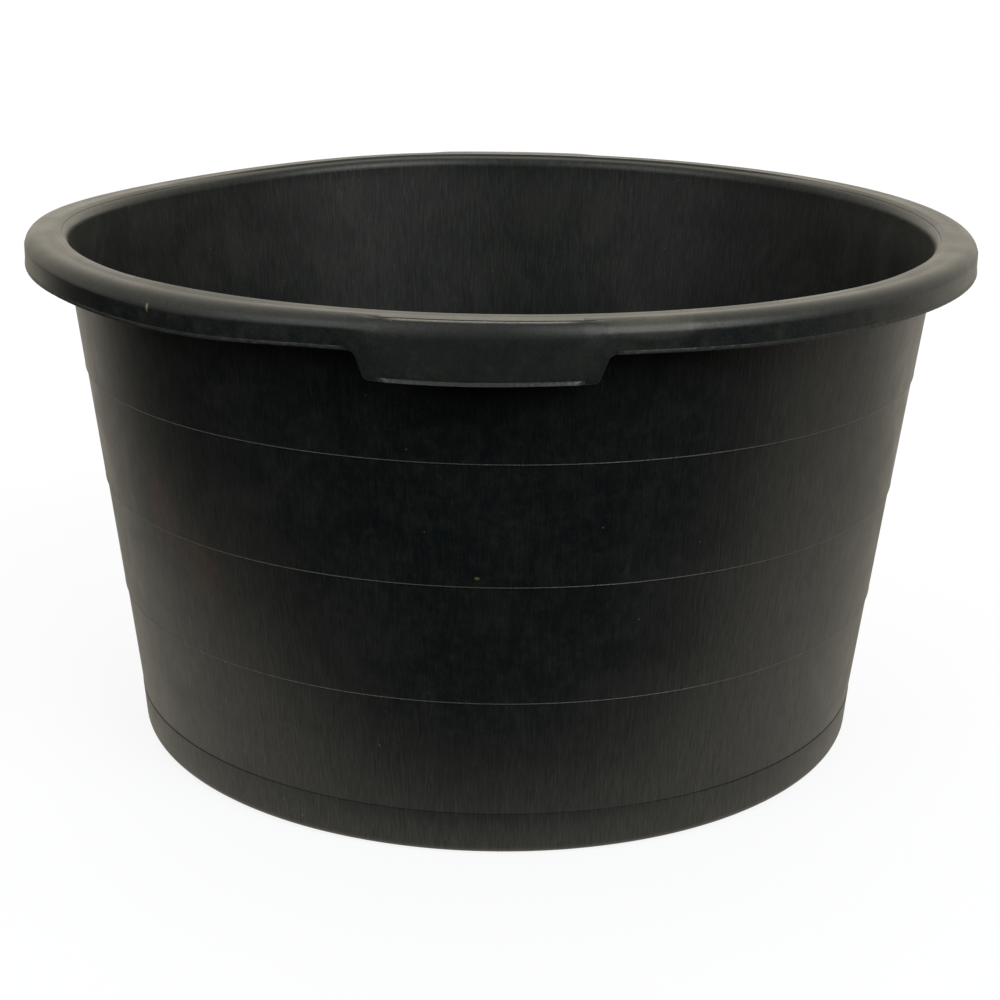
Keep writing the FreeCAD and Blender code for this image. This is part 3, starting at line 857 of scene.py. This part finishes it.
def build_floor():
    """Plain pale floor for the eye; for reflections, the painted light of a lit table with a front
    edge, as an emission.
    """
    made = bmesh.new()
    bmesh.ops.create_grid(made, x_segments=1, y_segments=1, size=FLOOR_HALF)
    mesh = bpy.data.meshes.new("studio_floor")
    made.to_mesh(mesh)
    made.free()
    floor = bpy.data.objects.new("studio_floor", mesh)
    bpy.context.scene.collection.objects.link(floor)
    material = bpy.data.materials.new("pale_sweep")
    material.use_nodes = True
    material.cycles.emission_sampling = "NONE"
    tree = material.node_tree
    tree.nodes.clear()
    shaded = add_node(tree, "ShaderNodeBsdfDiffuse", {"Color": SHADOW_GREY})
    pale = add_node(tree, "ShaderNodeEmission", {"Color": linear("ffffff"), "Strength": FLOOR_GLOW})
    seen = add_node(tree, "ShaderNodeAddShader", None, {0: shaded.outputs[0], 1: pale.outputs[0]})
    place = add_node(tree, "ShaderNodeTexCoord").outputs["Object"]
    split = add_node(tree, "ShaderNodeSeparateXYZ", None, {0: place})
    distance = add_node(tree, "ShaderNodeVectorMath", {"operation": "LENGTH"}, {0: place})
    # table edge in front, a slanting one at the left, and less light far away
    slant = maths(tree, "ADD", maths(tree, "MULTIPLY", split.outputs["X"], LEFT_SLANT),
                  split.outputs["Y"])
    front = ramp(tree, split.outputs["Y"], *FRONT_EDGE, kind="SMOOTHSTEP")
    left = ramp(tree, slant, *LEFT_EDGE, kind="SMOOTHSTEP")
    fading = ramp(tree, distance.outputs["Value"], FADE_FROM[0], FADE_TO[0], FADE_FROM[1],
                  FADE_TO[1])
    behind = ramp(tree, split.outputs["Y"], *BEHIND_EDGE, 0.0, BEHIND_LIGHT, "SMOOTHSTEP")
    level = maths(tree, "MULTIPLY", maths(tree, "MULTIPLY", front, left),
                  maths(tree, "ADD", fading, behind))
    painted_table_light = add_node(tree, "ShaderNodeEmission", {"Color": WARM}, {"Strength": level})
    rays = add_node(tree, "ShaderNodeLightPath")
    both = add_node(tree, "ShaderNodeMixShader", None,
                    {0: rays.outputs["Is Camera Ray"], 1: painted_table_light.outputs[0], 2: seen.outputs[0]})
    add_node(tree, "ShaderNodeOutputMaterial", None, {"Surface": both.outputs[0]})
    mesh.materials.append(material)


build_floor()

# %% World: bright back, dark front and two soft boxes
FRONT_LIGHT = 0.15
BACK_LIGHT = 1.12
SIDE_SHARE = 0.6
# direction, radiance, then the angles in degrees where it is full and where it ends
GLOWS = [((-0.60, -0.60, 0.53), 1.5, 12, 27), ((0.56, -0.60, 0.57), 3.0, 12, 27)]

world = bpy.data.worlds.new("studio")
bpy.context.scene.world = world
world.use_nodes = True
sky = world.node_tree
sky.nodes.clear()
direction = add_node(sky, "ShaderNodeTexCoord").outputs["Generated"]
parts = add_node(sky, "ShaderNodeSeparateXYZ", None, {0: direction})
sideways = maths(sky, "ABSOLUTE", parts.outputs["X"], 0.0)
total = maths(sky, "MULTIPLY", ramp(sky, parts.outputs["Y"], -0.7, 1.0, FRONT_LIGHT, BACK_LIGHT),
              ramp(sky, sideways, 0.35, 0.85, 1.0, SIDE_SHARE, "SMOOTHSTEP"))
for towards, brightness, full, ends in GLOWS:
    facing = add_node(sky, "ShaderNodeVectorMath",
                      {"operation": "DOT_PRODUCT", 1: Vector(towards).normalized()}, {0: direction})
    total = maths(sky, "ADD", total, ramp(
        sky, facing.outputs["Value"], math.cos(math.radians(ends)), math.cos(math.radians(full)),
        0.0, brightness, "SMOOTHSTEP"))
warmth = ramp(sky, parts.outputs["Y"], -0.5, 0.5)
tint = add_node(sky, "ShaderNodeMix", {"data_type": "RGBA", 6: COOL, 7: WARM}, {0: warmth})
glow = add_node(sky, "ShaderNodeBackground", None, {"Color": tint.outputs[2], "Strength": total})
add_node(sky, "ShaderNodeOutputWorld", None, {"Surface": glow.outputs[0]})

# %% [markdown]
# ## Camera
# The camera stands a little above the rim, looks down at about eighteen degrees, and leans by
# less than one degree, as a hand-levelled tripod does.

# %% Camera
LENS_LENGTH = 71.334
LENS_SHIFT = 0.002
CAMERA_DISTANCE = 4.2283 * RIM_RADIUS
CAMERA_HEIGHT = 1.8442 * RIM_RADIUS
CAMERA_PITCH = 0.3152
CAMERA_LEAN = 0.0122
CAMERA_AZIMUTH = math.radians(1.8)

lens = bpy.data.cameras.new("camera")
lens.sensor_width = 36.0
lens.lens = LENS_LENGTH
lens.shift_x = LENS_SHIFT
camera = bpy.data.objects.new("camera", lens)
bpy.context.scene.collection.objects.link(camera)
camera.location = (CAMERA_DISTANCE * math.sin(CAMERA_AZIMUTH),
                   -CAMERA_DISTANCE * math.cos(CAMERA_AZIMUTH), CAMERA_HEIGHT)
aim = (Matrix.Rotation(CAMERA_AZIMUTH, 3, "Z")
       @ Matrix.Rotation(math.pi / 2 - CAMERA_PITCH, 3, "X")
       @ Matrix.Rotation(CAMERA_LEAN, 3, "Z"))
camera.rotation_euler = aim.to_euler()
bpy.context.scene.camera = camera
bpy.context.scene.view_settings.view_transform = "Standard"

# %% Update the view layer
bpy.context.view_layer.update()
